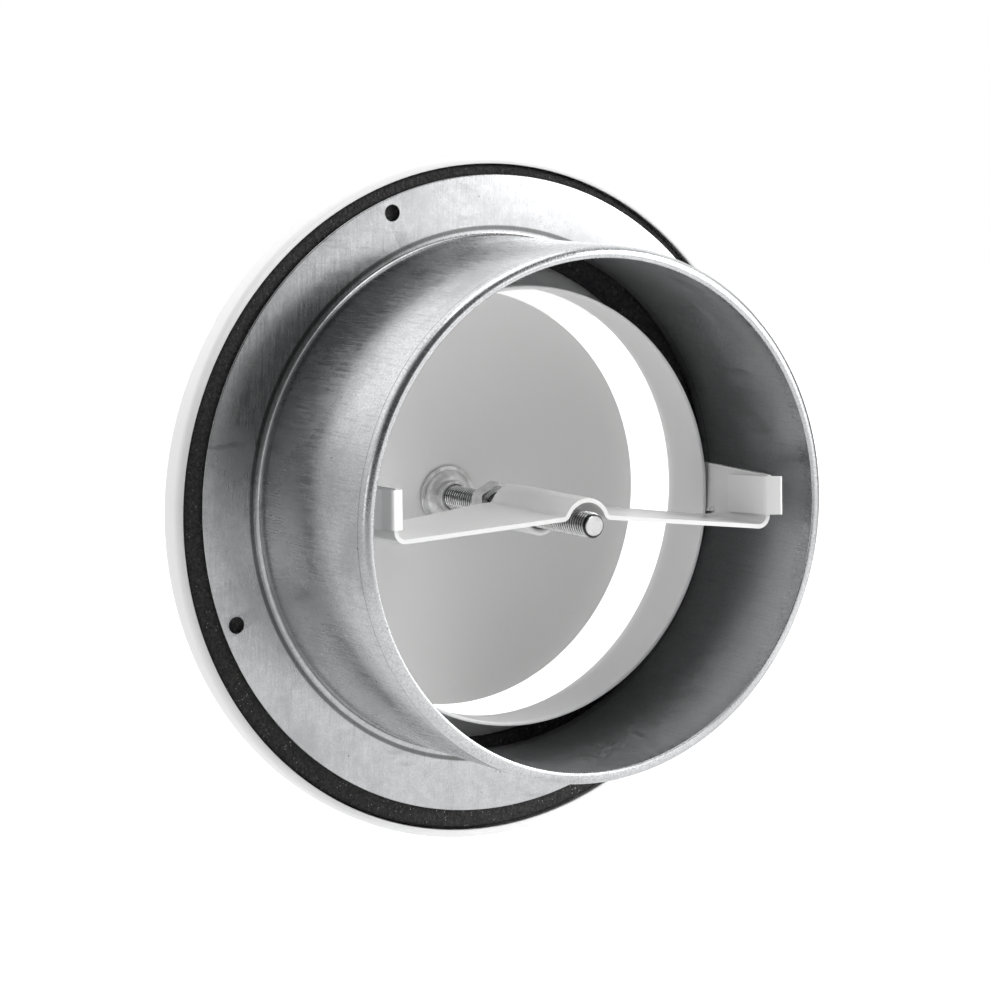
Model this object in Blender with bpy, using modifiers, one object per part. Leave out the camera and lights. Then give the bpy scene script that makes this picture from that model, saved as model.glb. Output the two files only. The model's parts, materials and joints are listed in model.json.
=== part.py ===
# Ventilation disc valve for a round duct of nominal 125 mm, in its wall-mounted position.
# The Y axis is the axis of the valve: +Y is the duct side, -Y is the room side, and +Z is up.
# The origin lies on that axis, in the plane of the rear face of the mounting flange, which meets the wall.
# All values are in metres, and a place along the axis is called a station.

import bmesh
import bpy
from math import atan2, cos, pi, radians, sin, sqrt, tan
from mathutils import Matrix, Vector

# Clearance between neighbouring pieces
GAP = 0.0003

# The valve hangs a little low and to one side in its mounting frame, on its springs.
# The bridge sits lower than the body, by the play of its slots on the throat collar.
BODY_DROP = 0.0011
BRIDGE_DROP = 0.0021
VALVE_SIDE_SHIFT = 0.0011

# Mounting frame: a flange drawn into a sleeve with an inward-curled mouth
SLEEVE_OUTER_R = 0.0620
SLEEVE_LENGTH = 0.0500
FRAME_SHEET = 0.0008
FLANGE_FILLET_R = 0.0022
MOUTH_CURL_R = 0.0032
MOUTH_LIP = 0.0004
SCREW_HOLE_R = 0.0020
SCREW_EDGE_DISTANCE = 0.0036
SCREW_COUNT = 4
SCREW_TURN = radians(22.8)

# Valve body: a throat collar, a trumpet and a bullnose rim with a curled lip
BODY_SHEET = 0.0009
COLLAR_SPACE = 0.0100
THROAT_STATION = 0.0173
TRUMPET_STATION = 0.0070
TRUMPET_WIDTH = 0.0208
CREST_STATION = -0.0115
RIM_WIDTH = 0.0110
RIM_STATION = -0.0015
LIP_CURL_R = 0.0008
LIP_WIDTH = 0.0030
FLANGE_CLEARANCE = 0.0036

# Foam gasket in the channel of the valve body
GASKET_SPACE = 0.0071

# Valve disc: a shallow pan, open to the duct side
DISC_SHEET = 0.0009
DISC_CLEARANCE = 0.0002
DISC_RIM_STATION = -0.0141
DISC_DEPTH = 0.0048
DISC_RIM_WIDTH = 0.0040
DISC_FLOOR_RISE = 0.0012
DISC_CORNER_R = 0.0035

# Boss that holds the spindle on the disc
BOSS_R = 0.00735
BOSS_BASE = 0.0006
BOSS_DOME_R = 0.0064
BOSS_NECK_R = 0.0040
BOSS_HEIGHT = 0.0027
BOSS_NECK = 0.0006

# Spindle, bush and lock nut
SPINDLE_R = 0.0030
SPINDLE_REAR_STATION = 0.0492
SPINDLE_CHAMFER = 0.0006
BUSH_R = 0.0048
BUSH_REAR_STATION = 0.0260
BUSH_COUNTERSINK = 0.0006
NUT_ACROSS_FLATS = 0.0100
NUT_THICKNESS = 0.0050
NUT_REAR_STATION = 0.0071
NUT_CHAMFER = 0.0005

# Bridge: one bent strip with an arch over the bush and a tab at each end
BRIDGE_SHEET = 0.0010
BRIDGE_REAR_STATION = 0.0460
BRIDGE_FRONT_STATION = 0.0129
BRIDGE_APEX_Z = 0.0019
BRIDGE_SLOPE = radians(4.9)
ARCH_FOOT_R = 0.0014
END_BEND_R = 0.0025
TAB_STEP_IN = 0.0009
TAB_TOP_Z = 0.0099
RELIEF_HOLE_R = 0.0013

# The strip narrows from the arch to its ends, where its front edge stands behind the collar
TAPER_INNER_X = 0.0060
TAPER_OUTER_IN = 0.0072
TAPER_STATION = 0.0239
NOTCH_STATION = 0.0202
NOTCH_LIFT = 0.0010

# Spring clips on the tabs
CLIP_SHEET = 0.0006
CLIP_HEIGHT = 0.0090
CLIP_BOTTOM_Z = 0.0006
CLIP_TILT = radians(4.0)
CLIP_INNER_LEG = 0.0177
CLIP_CORNER_OUT = 0.0022
CLIP_CORNER_REACH = 0.0021
CLIP_CREASE_DEPTH = 0.0014
CLIP_LEG_STATION = 0.0290
CLIP_TIP_STATION = 0.0245
CLIP_TIP_TUCK = 0.0014
CLIP_BEND_R = 0.0008

# Facets round a full turn, for large and for small turned pieces, and in each bend
LARGE_TURN = 64
SMALL_TURN = 32
BEND_STEPS = 4
CURVE_STEPS = 8

# Sizes that follow from the ones above
SLEEVE_MID_R = SLEEVE_OUTER_R - FRAME_SHEET / 2
SLEEVE_INNER_R = SLEEVE_OUTER_R - FRAME_SHEET
THROAT_R = SLEEVE_INNER_R - COLLAR_SPACE
CREST_R = THROAT_R + TRUMPET_WIDTH
BODY_OUTER_R = CREST_R + RIM_WIDTH
LIP_INNER_R = BODY_OUTER_R - LIP_WIDTH
FLANGE_OUTER_R = LIP_INNER_R - FLANGE_CLEARANCE
SCREW_CIRCLE_R = FLANGE_OUTER_R - SCREW_EDGE_DISTANCE
GASKET_INNER_R = THROAT_R + GASKET_SPACE
DISC_OUTER_R = THROAT_R - DISC_CLEARANCE
DISC_FLOOR_R = DISC_OUTER_R - DISC_RIM_WIDTH
FLANGE_MID_STATION = -FRAME_SHEET / 2
THROAT_MID_R = THROAT_R + BODY_SHEET / 2
RIM_MID_R = BODY_OUTER_R - BODY_SHEET / 2
CREST_MID_STATION = CREST_STATION + BODY_SHEET / 2
GASKET_STATION = -FRAME_SHEET - GAP
DISC_FLOOR_STATION = DISC_RIM_STATION - DISC_DEPTH
DISC_REAR_STATION = DISC_FLOOR_STATION + DISC_SHEET / 2
BORE_R = SPINDLE_R + GAP
ARCH_R = BUSH_R + GAP + BRIDGE_SHEET / 2
SLOT_INNER_R = THROAT_R - GAP
SLOT_OUTER_R = THROAT_R + BODY_SHEET + GAP
SLOT_STATION = THROAT_STATION + GAP
TAB_REAR_X = THROAT_R - TAB_STEP_IN
CLIP_CORNER_X = TAB_REAR_X + CLIP_CORNER_OUT
TAB_SLOT_X = SLOT_OUTER_R + BRIDGE_SHEET / 2 + 0.5 * GAP
TAB_FLARE = (TAB_SLOT_X - TAB_REAR_X) / (BRIDGE_REAR_STATION - SLOT_STATION)


def clear_scene():
    for item in list(bpy.data.objects):
        bpy.data.objects.remove(item, do_unlink=True)


def new_collection(name):
    group = bpy.data.collections.new(name)
    bpy.context.scene.collection.children.link(group)
    return group


def new_material(name, colour, roughness, metallic):
    material = bpy.data.materials.new(name)
    material.use_nodes = True
    shader = material.node_tree.nodes["Principled BSDF"]
    shader.inputs["Base Color"].default_value = (*colour, 1.0)
    shader.inputs["Roughness"].default_value = roughness
    shader.inputs["Metallic"].default_value = metallic
    return material


def new_object(name, bm, group, material=None, parent=None):
    mesh = bpy.data.meshes.new(name)
    bm.to_mesh(mesh)
    bm.free()
    item = bpy.data.objects.new(name, mesh)
    group.objects.link(item)
    item.parent = parent
    if material:
        mesh.materials.append(material)
        mesh.shade_smooth()
        mesh.set_sharp_from_angle(angle=radians(35))
    else:
        item.hide_render = True
        item.display_type = "WIRE"
    return item


def rounded(corners, steps=BEND_STEPS):
    """Turn corners (across, along, radius) into a line whose corners are arcs."""
    points = [Vector(corners[0][:2])]
    for before, here, after in zip(corners, corners[1:], corners[2:]):
        corner = Vector(here[:2])
        back = (Vector(before[:2]) - corner).normalized()
        ahead = (Vector(after[:2]) - corner).normalized()
        radius = here[2]
        if radius == 0.0:
            points.append(corner)
            continue
        half = back.angle(ahead) / 2
        centre = corner + (back + ahead).normalized() * radius / sin(half)
        start = corner + back * radius / tan(half) - centre
        end = corner + ahead * radius / tan(half) - centre
        sweep = start.angle_signed(end)
        for step in range(steps + 1):
            turn = Matrix.Rotation(-sweep * step / steps, 2)
            points.append(centre + turn @ start)
    points.append(Vector(corners[-1][:2]))
    return points


def quarter_ellipse(centre, across, along, start, end, steps=CURVE_STEPS):
    """Points of an ellipse round a centre, from one angle to another."""
    points = []
    for step in range(steps + 1):
        angle = start + (end - start) * step / steps
        points.append(Vector((centre[0] + across * cos(angle), centre[1] + along * sin(angle))))
    return points


def add_screw(item, turn_steps):
    screw = item.modifiers.new("turn", "SCREW")
    screw.axis = "Z"
    screw.angle = 2 * pi
    screw.steps = turn_steps
    screw.render_steps = turn_steps
    screw.use_merge_vertices = True
    screw.merge_threshold = 0.00005


def add_thickness(item, thickness):
    solidify = item.modifiers.new("sheet", "SOLIDIFY")
    solidify.thickness = thickness
    solidify.offset = 0.0
    solidify.use_even_offset = True


def add_cut(item, cutter, operation="DIFFERENCE"):
    boolean = item.modifiers.new(cutter.name, "BOOLEAN")
    boolean.operation = operation
    boolean.solver = "EXACT"
    boolean.object = cutter


def profile_mesh(points, closed):
    """A line of points (radius, station) as edges in the XZ plane, ready to be turned about Z."""
    bm = bmesh.new()
    verts = [bm.verts.new((point[0], 0.0, point[1])) for point in points]
    for one, two in zip(verts, verts[1:]):
        bm.edges.new((one, two))
    if closed:
        bm.edges.new((verts[-1], verts[0]))
    return bm


def turned_sheet(name, points, thickness, turn_steps, group, material, parent):
    item = new_object(name, profile_mesh(points, False), group, material, parent)
    add_screw(item, turn_steps)
    add_thickness(item, thickness)
    return item


def turned_solid(name, points, turn_steps, group, material, parent, closed=True):
    """Turn an outline that runs down its outer side and back up its inner side."""
    item = new_object(name, profile_mesh(points, closed), group, material, parent)
    add_screw(item, turn_steps)
    return item


def round_cutter(name, radius, length, centre, direction, group, parent=None):
    """A cylinder that is only used to cut, centred on a point and along a direction."""
    bm = bmesh.new()
    turn = Vector((0, 0, 1)).rotation_difference(Vector(direction)).to_matrix().to_4x4()
    bmesh.ops.create_cone(bm, cap_ends=True, segments=20, radius1=radius, radius2=radius, depth=length,
                          matrix=Matrix.Translation(centre) @ turn)
    return new_object(name, bm, group, None, parent)


def body_curve(inset):
    """The trumpet and the outer quarter of the rim, moved inwards from the middle of the sheet."""
    trumpet = quarter_ellipse((CREST_R, TRUMPET_STATION), CREST_R - THROAT_MID_R - inset,
                              TRUMPET_STATION - CREST_MID_STATION - inset, pi, 1.5 * pi)
    rim = quarter_ellipse((CREST_R, RIM_STATION), RIM_MID_R - CREST_R - inset,
                          RIM_STATION - CREST_MID_STATION - inset, 1.5 * pi, 2 * pi)
    return trumpet + rim[1:]


def make_mounting_frame(group, cutters, axis, material):
    line = rounded([
        (FLANGE_OUTER_R, FLANGE_MID_STATION, 0.0),
        (SLEEVE_MID_R, FLANGE_MID_STATION, FLANGE_FILLET_R),
        (SLEEVE_MID_R, SLEEVE_LENGTH - FRAME_SHEET / 2, MOUTH_CURL_R - FRAME_SHEET / 2),
        (SLEEVE_OUTER_R - MOUTH_CURL_R - MOUTH_LIP, SLEEVE_LENGTH - FRAME_SHEET / 2, 0.0),
    ])
    frame = turned_sheet("mounting_frame", line, FRAME_SHEET, LARGE_TURN, group, material, axis)
    for index in range(SCREW_COUNT):
        angle = pi / 2 - SCREW_TURN - 2 * pi * index / SCREW_COUNT
        place = (SCREW_CIRCLE_R * cos(angle), FLANGE_MID_STATION, SCREW_CIRCLE_R * sin(angle))
        name = f"screw_hole_{index + 1}"
        add_cut(frame, round_cutter(name, SCREW_HOLE_R, 4 * FRAME_SHEET, place, (0, 1, 0), cutters))


def make_valve_body(group, axis, material):
    collar = [Vector((THROAT_MID_R, THROAT_STATION))]
    curl_centre = (RIM_MID_R - LIP_CURL_R, RIM_STATION)
    curl = quarter_ellipse(curl_centre, LIP_CURL_R, LIP_CURL_R, 0.0, pi / 2, BEND_STEPS)
    lip = [Vector((LIP_INNER_R, RIM_STATION + LIP_CURL_R))]
    line = collar + body_curve(0.0) + curl[1:] + lip
    turned_sheet("valve_body", line, BODY_SHEET, LARGE_TURN, group, material, axis)


def place_on_line(line, radius):
    """The point of a line at a radius, on a line whose radius only grows."""
    for one, two in zip(line, line[1:]):
        if one[0] <= radius <= two[0]:
            return one.lerp(two, (radius - one[0]) / (two[0] - one[0]))
    return line[-1] if radius > line[-1][0] else line[0]


def make_gasket(group, axis, material):
    """A foam ring that fills the channel behind the rim, flat where the flange presses on it."""
    channel = body_curve(BODY_SHEET / 2 + GAP)
    inner_seat = place_on_line(channel, GASKET_INNER_R)
    outer_seat = place_on_line(channel, LIP_INNER_R - GAP)
    seat = [point for point in channel if inner_seat[0] < point[0] < outer_seat[0]]
    outline = [Vector((inner_seat[0], GASKET_STATION)), Vector((outer_seat[0], GASKET_STATION)), outer_seat]
    outline += reversed(seat)
    outline.append(inner_seat)
    turned_solid("foam_gasket", outline, LARGE_TURN, group, material, axis)


def make_valve_disc(group, carriage, material):
    line = rounded([
        (0.0, DISC_FLOOR_STATION, 0.0),
        (DISC_FLOOR_R, DISC_FLOOR_STATION + DISC_FLOOR_RISE, DISC_CORNER_R),
        (DISC_OUTER_R - DISC_SHEET / 2, DISC_RIM_STATION, 0.0),
    ])
    turned_sheet("valve_disc", line, DISC_SHEET, LARGE_TURN, group, material, carriage)


def make_boss(group, carriage, material):
    """A domed flange with a neck round the spindle, seated on the dished floor of the disc."""
    seat = DISC_REAR_STATION + GAP + DISC_FLOOR_RISE * BOSS_R / DISC_FLOOR_R
    shoulder = seat + BOSS_BASE
    crown = seat + BOSS_HEIGHT - BOSS_NECK
    dome_r = BOSS_DOME_R - BOSS_NECK_R
    dome = quarter_ellipse((BOSS_NECK_R, shoulder), dome_r, crown - shoulder, pi / 2, 0.0, BEND_STEPS)
    outline = [Vector((BORE_R, seat + BOSS_HEIGHT)), Vector((BOSS_NECK_R, seat + BOSS_HEIGHT))]
    outline += dome
    outline += [Vector((BOSS_R, shoulder)), Vector((BOSS_R, seat)), Vector((BORE_R, seat))]
    turned_solid("spindle_boss", outline, SMALL_TURN, group, material, carriage)


def make_spindle(group, carriage, material):
    front = DISC_REAR_STATION + GAP
    inner_r = SPINDLE_R - SPINDLE_CHAMFER
    outline = [Vector((0.0, SPINDLE_REAR_STATION)), Vector((inner_r, SPINDLE_REAR_STATION)),
               Vector((SPINDLE_R, SPINDLE_REAR_STATION - SPINDLE_CHAMFER)),
               Vector((SPINDLE_R, front + SPINDLE_CHAMFER)), Vector((inner_r, front)), Vector((0.0, front))]
    turned_solid("spindle", outline, SMALL_TURN, group, material, carriage, closed=False)


def make_bush(group, axis, material):
    mouth_r = BORE_R + BUSH_COUNTERSINK
    outline = [Vector((mouth_r, BUSH_REAR_STATION)), Vector((BUSH_R, BUSH_REAR_STATION)),
               Vector((BUSH_R, BRIDGE_FRONT_STATION)), Vector((BORE_R, BRIDGE_FRONT_STATION)),
               Vector((BORE_R, BUSH_REAR_STATION - BUSH_COUNTERSINK))]
    turned_solid("threaded_bush", outline, SMALL_TURN, group, material, axis)


def make_lock_nut(group, cutters, axis, material):
    """A hexagon with one corner up, its corners turned off at both ends and a bore for the spindle."""
    corner_r = NUT_ACROSS_FLATS / 2 / cos(pi / 6)
    rear = NUT_REAR_STATION
    middle = rear - NUT_THICKNESS / 2
    bm = bmesh.new()
    bmesh.ops.create_cone(bm, cap_ends=True, segments=6, radius1=corner_r, radius2=corner_r,
                          depth=NUT_THICKNESS, matrix=Matrix.Translation((0, 0, middle)))
    nut = new_object("lock_nut", bm, group, material, axis)
    face_r = NUT_ACROSS_FLATS / 2
    reach_r = corner_r + NUT_CHAMFER
    slope = (reach_r - face_r) * tan(pi / 6)
    outline = [Vector((0.0, rear)), Vector((face_r, rear)), Vector((reach_r, rear - slope)),
               Vector((reach_r, rear - NUT_THICKNESS + slope)), Vector((face_r, rear - NUT_THICKNESS)),
               Vector((0.0, rear - NUT_THICKNESS))]
    turned_off = turned_solid("nut_chamfers", outline, SMALL_TURN, cutters, None, axis, closed=False)
    add_cut(nut, turned_off, "INTERSECT")
    centre = (0, 0, middle)
    add_cut(nut, round_cutter("nut_bore", BORE_R, 2 * NUT_THICKNESS, centre, (0, 0, 1), cutters, axis))


def tab_x(station):
    """Middle of a tab's sheet: the tabs spread towards the front, so that they pass outside the collar."""
    return TAB_REAR_X + TAB_FLARE * (BRIDGE_REAR_STATION - station)


def bridge_line(station):
    """Half of the strip's section at a station, from the crown of the arch to the top of the tab."""
    normal = Vector((sin(BRIDGE_SLOPE), cos(BRIDGE_SLOPE)))
    along = Vector((cos(BRIDGE_SLOPE), -sin(BRIDGE_SLOPE)))
    lift = BRIDGE_APEX_Z * cos(BRIDGE_SLOPE) + ARCH_FOOT_R
    foot = normal * lift + along * sqrt((ARCH_R + ARCH_FOOT_R) ** 2 - lift ** 2)
    foot_angle = atan2(foot.y, foot.x)
    arch = quarter_ellipse((0.0, 0.0), ARCH_R, ARCH_R, pi / 2, foot_angle, 2 * BEND_STEPS)
    arch[0].x = 0.0
    fillet_end = 1.5 * pi - BRIDGE_SLOPE
    fillet = quarter_ellipse(foot, ARCH_FOOT_R, ARCH_FOOT_R, foot_angle + pi, fillet_end, BEND_STEPS)
    end_x = tab_x(station)
    end_z = BRIDGE_APEX_Z - end_x * tan(BRIDGE_SLOPE)
    tab = rounded([(*fillet[-1], 0.0), (end_x, end_z, END_BEND_R), (end_x, TAB_TOP_Z, 0.0)])
    return arch + fillet[1:] + tab[1:]


def taper_cutter(side, cutters, parent):
    """A prism that takes the front corner off one half of the strip, below the free part of its tab."""
    far_x = TAB_SLOT_X + 2 * BRIDGE_SHEET
    front = BRIDGE_FRONT_STATION - NUT_THICKNESS
    plan = [(TAPER_INNER_X, BRIDGE_FRONT_STATION - BRIDGE_SHEET), (THROAT_R - TAPER_OUTER_IN, TAPER_STATION),
            (THROAT_R, NOTCH_STATION), (far_x, NOTCH_STATION), (far_x, front), (TAPER_INNER_X, front)]
    bm = bmesh.new()
    top = BRIDGE_APEX_Z + NOTCH_LIFT
    low = [bm.verts.new((side * x, station, -TAB_TOP_Z)) for x, station in plan]
    high = [bm.verts.new((side * x, station, top - x * tan(BRIDGE_SLOPE))) for x, station in plan]
    bm.faces.new(low)
    bm.faces.new(high)
    for index in range(len(plan)):
        after = (index + 1) % len(plan)
        bm.faces.new((low[index], low[after], high[after], high[index]))
    bmesh.ops.recalc_face_normals(bm, faces=bm.faces)
    name = "front_taper_left" if side > 0 else "front_taper_right"
    return new_object(name, bm, cutters, None, parent)


def make_bridge(group, cutters, valve, body_axis, material):
    """A ruled strip between its rear and its front section, cut where the throat collar passes through."""
    bm = bmesh.new()
    rows = []
    for station in (BRIDGE_REAR_STATION, BRIDGE_FRONT_STATION):
        rows.append([bm.verts.new((point.x, station, point.y)) for point in bridge_line(station)])
    for index in range(len(rows[0]) - 1):
        bm.faces.new((rows[0][index], rows[0][index + 1], rows[1][index + 1], rows[1][index]))
    bridge = new_object("bridge", bm, group, material, valve)
    mirror = bridge.modifiers.new("both_ends", "MIRROR")
    mirror.merge_threshold = 0.00005
    add_thickness(bridge, BRIDGE_SHEET)

    front = BRIDGE_FRONT_STATION - NUT_THICKNESS
    slot = turned_solid("collar_slot", [
        Vector((SLOT_INNER_R, SLOT_STATION)), Vector((SLOT_OUTER_R, SLOT_STATION)),
        Vector((SLOT_OUTER_R, front)), Vector((SLOT_INNER_R, front)),
    ], LARGE_TURN, cutters, None, body_axis)
    add_cut(bridge, slot)

    bend_x = tab_x(NOTCH_STATION) - END_BEND_R
    bend_z = BRIDGE_APEX_Z - tab_x(NOTCH_STATION) * tan(BRIDGE_SLOPE) + END_BEND_R
    for side in (-1, 1):
        add_cut(bridge, taper_cutter(side, cutters, valve))
        name = "relief_hole_left" if side > 0 else "relief_hole_right"
        place = (side * (bend_x + END_BEND_R * cos(pi / 4)), NOTCH_STATION, bend_z - END_BEND_R * sin(pi / 4))
        through = (side, 0, -1)
        add_cut(bridge, round_cutter(name, RELIEF_HOLE_R, 2 * END_BEND_R, place, through, cutters, valve))


def clip_line(side):
    """The clip from above: inner leg, bend round the tab's edge, sharp corner, crease and outer leg."""
    beside = BRIDGE_SHEET / 2 + GAP + CLIP_SHEET / 2
    edge = BRIDGE_REAR_STATION + GAP + CLIP_SHEET / 2
    leg_front = edge - CLIP_INNER_LEG
    crease = edge - CLIP_CREASE_DEPTH - CLIP_CORNER_REACH
    touch_x = SLEEVE_INNER_R - GAP - CLIP_SHEET
    height_in_sleeve = CLIP_BOTTOM_Z + CLIP_HEIGHT - BRIDGE_DROP
    wall_x = sqrt(touch_x ** 2 - height_in_sleeve ** 2) - side * VALVE_SIDE_SHIFT
    return rounded([
        (tab_x(leg_front) - beside, leg_front, 0.0),
        (tab_x(edge) - beside, edge, CLIP_BEND_R),
        (CLIP_CORNER_X, edge + CLIP_CORNER_REACH, CLIP_SHEET / 2),
        (tab_x(crease) + beside + GAP, crease, CLIP_SHEET / 2),
        (wall_x, CLIP_LEG_STATION, 3 * CLIP_BEND_R),
        (wall_x - CLIP_TIP_TUCK, CLIP_TIP_STATION, 0.0),
    ])


def make_clip(name, side, group, valve, material):
    """A strip of spring sheet on edge, raised to its full height and tipped a little down at the front."""
    bm = bmesh.new()
    low = [bm.verts.new((point.x * side, point.y - BRIDGE_REAR_STATION, 0.0)) for point in clip_line(side)]
    high = [bm.verts.new((vert.co.x, vert.co.y, CLIP_HEIGHT)) for vert in low]
    for index in range(len(low) - 1):
        bm.faces.new((low[index], low[index + 1], high[index + 1], high[index]))
    clip = new_object(name, bm, group, material, valve)
    clip.location = (0.0, BRIDGE_REAR_STATION, CLIP_BOTTOM_Z)
    clip.rotation_euler = (CLIP_TILT, 0.0, 0.0)
    add_thickness(clip, CLIP_SHEET)


def new_empty(name, group, parent=None):
    empty = bpy.data.objects.new(name, None)
    group.objects.link(empty)
    empty.parent = parent
    return empty


def main():
    clear_scene()
    group = new_collection("ventilation_disc_valve")
    cutters = new_collection("cutters")

    galvanised = new_material("galvanised_steel", (0.62, 0.63, 0.64), 0.34, 1.0)
    foam = new_material("black_foam", (0.03, 0.03, 0.03), 0.95, 0.0)
    body_paint = new_material("body_powder_coat", (0.88, 0.88, 0.87), 0.30, 0.0)
    bridge_paint = new_material("bridge_powder_coat", (0.87, 0.87, 0.87), 0.28, 0.0)
    clip_paint = new_material("clip_powder_coat", (0.87, 0.87, 0.87), 0.28, 0.0)
    bush_paint = new_material("bush_powder_coat", (0.87, 0.87, 0.87), 0.32, 0.0)
    disc_paint = new_material("disc_powder_coat", (0.86, 0.87, 0.86), 0.40, 0.0)
    boss_zinc = new_material("boss_zinc", (0.66, 0.67, 0.68), 0.30, 1.0)
    spindle_zinc = new_material("spindle_zinc", (0.50, 0.50, 0.50), 0.28, 1.0)
    nut_zinc = new_material("nut_zinc", (0.60, 0.61, 0.61), 0.25, 1.0)

    # Local Z of the turned pieces points along their axis, towards the duct
    frame_axis = new_empty("frame_axis", group)
    frame_axis.rotation_euler = (-pi / 2, 0.0, 0.0)
    body_axis = new_empty("body_axis", group)
    body_axis.location = (VALVE_SIDE_SHIFT, 0.0, -BODY_DROP)
    body_axis.rotation_euler = (-pi / 2, 0.0, 0.0)
    valve = new_empty("bridge_place", group)
    valve.location = (VALVE_SIDE_SHIFT, 0.0, -BRIDGE_DROP)
    axis = new_empty("bridge_axis", group, valve)
    axis.rotation_euler = (-pi / 2, 0.0, 0.0)
    carriage = new_empty("disc_carriage", group, axis)

    make_mounting_frame(group, cutters, frame_axis, galvanised)
    make_gasket(group, body_axis, foam)
    make_valve_body(group, body_axis, body_paint)
    make_bridge(group, cutters, valve, body_axis, bridge_paint)
    make_clip("spring_clip_left", 1, group, valve, clip_paint)
    make_clip("spring_clip_right", -1, group, valve, clip_paint)
    make_bush(group, axis, bush_paint)
    make_lock_nut(group, cutters, axis, nut_zinc)
    make_spindle(group, carriage, spindle_zinc)
    make_boss(group, carriage, boss_zinc)
    make_valve_disc(group, carriage, disc_paint)


main()
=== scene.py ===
# Looks of the ventilation disc valve: finer surfaces, finishes, light, floor and camera.
# Axes are the frame's: +Y into the duct, +Z up, lengths in metres. A place along Y is called a station.

import json
from math import atan2, copysign, cos, pi, radians, sin, sqrt, tan

import bmesh
import bpy
from mathutils import Matrix, Vector, noise


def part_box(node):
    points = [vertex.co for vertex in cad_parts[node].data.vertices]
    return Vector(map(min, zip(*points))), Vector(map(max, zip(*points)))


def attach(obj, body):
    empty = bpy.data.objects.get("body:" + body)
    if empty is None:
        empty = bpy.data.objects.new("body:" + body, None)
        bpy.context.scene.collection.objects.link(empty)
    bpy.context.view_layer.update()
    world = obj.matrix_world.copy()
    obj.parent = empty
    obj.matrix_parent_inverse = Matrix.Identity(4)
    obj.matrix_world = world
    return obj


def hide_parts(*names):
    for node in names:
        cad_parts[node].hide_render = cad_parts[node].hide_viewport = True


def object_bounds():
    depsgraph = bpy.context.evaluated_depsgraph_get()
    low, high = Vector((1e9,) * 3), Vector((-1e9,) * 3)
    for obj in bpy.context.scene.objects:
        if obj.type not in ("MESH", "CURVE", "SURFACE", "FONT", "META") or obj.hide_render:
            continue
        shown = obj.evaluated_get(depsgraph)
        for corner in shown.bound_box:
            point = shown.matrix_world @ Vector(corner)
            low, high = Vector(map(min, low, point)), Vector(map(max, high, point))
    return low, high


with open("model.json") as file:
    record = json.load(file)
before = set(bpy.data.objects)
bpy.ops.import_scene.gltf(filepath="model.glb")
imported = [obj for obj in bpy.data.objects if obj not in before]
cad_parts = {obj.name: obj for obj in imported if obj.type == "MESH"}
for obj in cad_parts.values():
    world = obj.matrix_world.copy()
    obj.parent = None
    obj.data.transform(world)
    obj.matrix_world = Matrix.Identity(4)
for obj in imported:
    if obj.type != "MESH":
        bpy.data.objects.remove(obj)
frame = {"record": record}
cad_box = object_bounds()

# Places and reaches read from the frame
FRAME_LOW, FRAME_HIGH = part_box("mounting_frame")
BODY_LOW, BODY_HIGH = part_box("valve_body")
GASKET_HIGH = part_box("foam_gasket")[1]
BOSS_LOW, BOSS_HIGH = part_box("spindle_boss")
SPINDLE_LOW, SPINDLE_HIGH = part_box("spindle")
BUSH_LOW, BUSH_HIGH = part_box("threaded_bush")
NUT_LOW, NUT_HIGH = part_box("lock_nut")
BRIDGE_LOW, BRIDGE_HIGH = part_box("bridge")
FRAME_AXIS = Vector((0.0, 0.0, 0.0))
BODY_AXIS = Vector(((BODY_LOW.x + BODY_HIGH.x) / 2, 0.0, (BODY_LOW.z + BODY_HIGH.z) / 2))
BRIDGE_AXIS = Vector(((SPINDLE_LOW.x + SPINDLE_HIGH.x) / 2, 0.0, (SPINDLE_LOW.z + SPINDLE_HIGH.z) / 2))

GAP = 0.0003

# Mounting frame
SLEEVE_OUTER_R = 0.0620
SLEEVE_LENGTH = FRAME_HIGH.y
FRAME_SHEET = -FRAME_LOW.y
FLANGE_OUTER_R = FRAME_HIGH.x
FLANGE_FILLET_R = 0.0013
MOUTH_CURL_R = 0.0016
MOUTH_SLOPE = radians(19)
MOUTH_INNER_R = 0.0592
# Places of painted shade lines: one at the groove where the mouth's curl begins, two in the crease round the
# sleeve's foot
MOUTH_SHADE_STATION = 0.0474
FILLET_SHADE_R = 0.0638
FILLET_SHADE_STATION = 0.0032
SCREW_HOLE_R = 0.0020
SCREW_CIRCLE_R = 0.0728
SCREW_COUNT = 4
SCREW_TURN = radians(22.8)

# Valve body
BODY_SHEET = 0.0009
THROAT_R = 0.0512
THROAT_STATION = BODY_HIGH.y
TRUMPET_STATION = 0.0070
CREST_R = 0.0720
CREST_STATION = BODY_LOW.y
BODY_OUTER_R = (BODY_HIGH.x - BODY_LOW.x) / 2 - 0.0010
RIM_STATION = -0.0015
RIM_FULLNESS = 0.62
LIP_CURL_R = 0.0008
LIP_INNER_R = 0.0800

# Foam gasket
GASKET_INNER_R = 0.0583
GASKET_STATION = GASKET_HIGH.y
GASKET_EDGE = 0.0006
FOAM_GRAIN = 0.0011
FOAM_ROUGHNESS = 0.00022

# Valve disc
DISC_SHEET = 0.0009
DISC_OUTER_R = 0.0510
DISC_RIM_STATION = -0.0141
DISC_DEPTH = 0.0048
DISC_DISH_R = 0.0455
DISC_DISH_RISE = 0.0043
DISC_BEND_WIDTH = 0.0006
DISC_BEND_RISE = 0.00008

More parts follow.
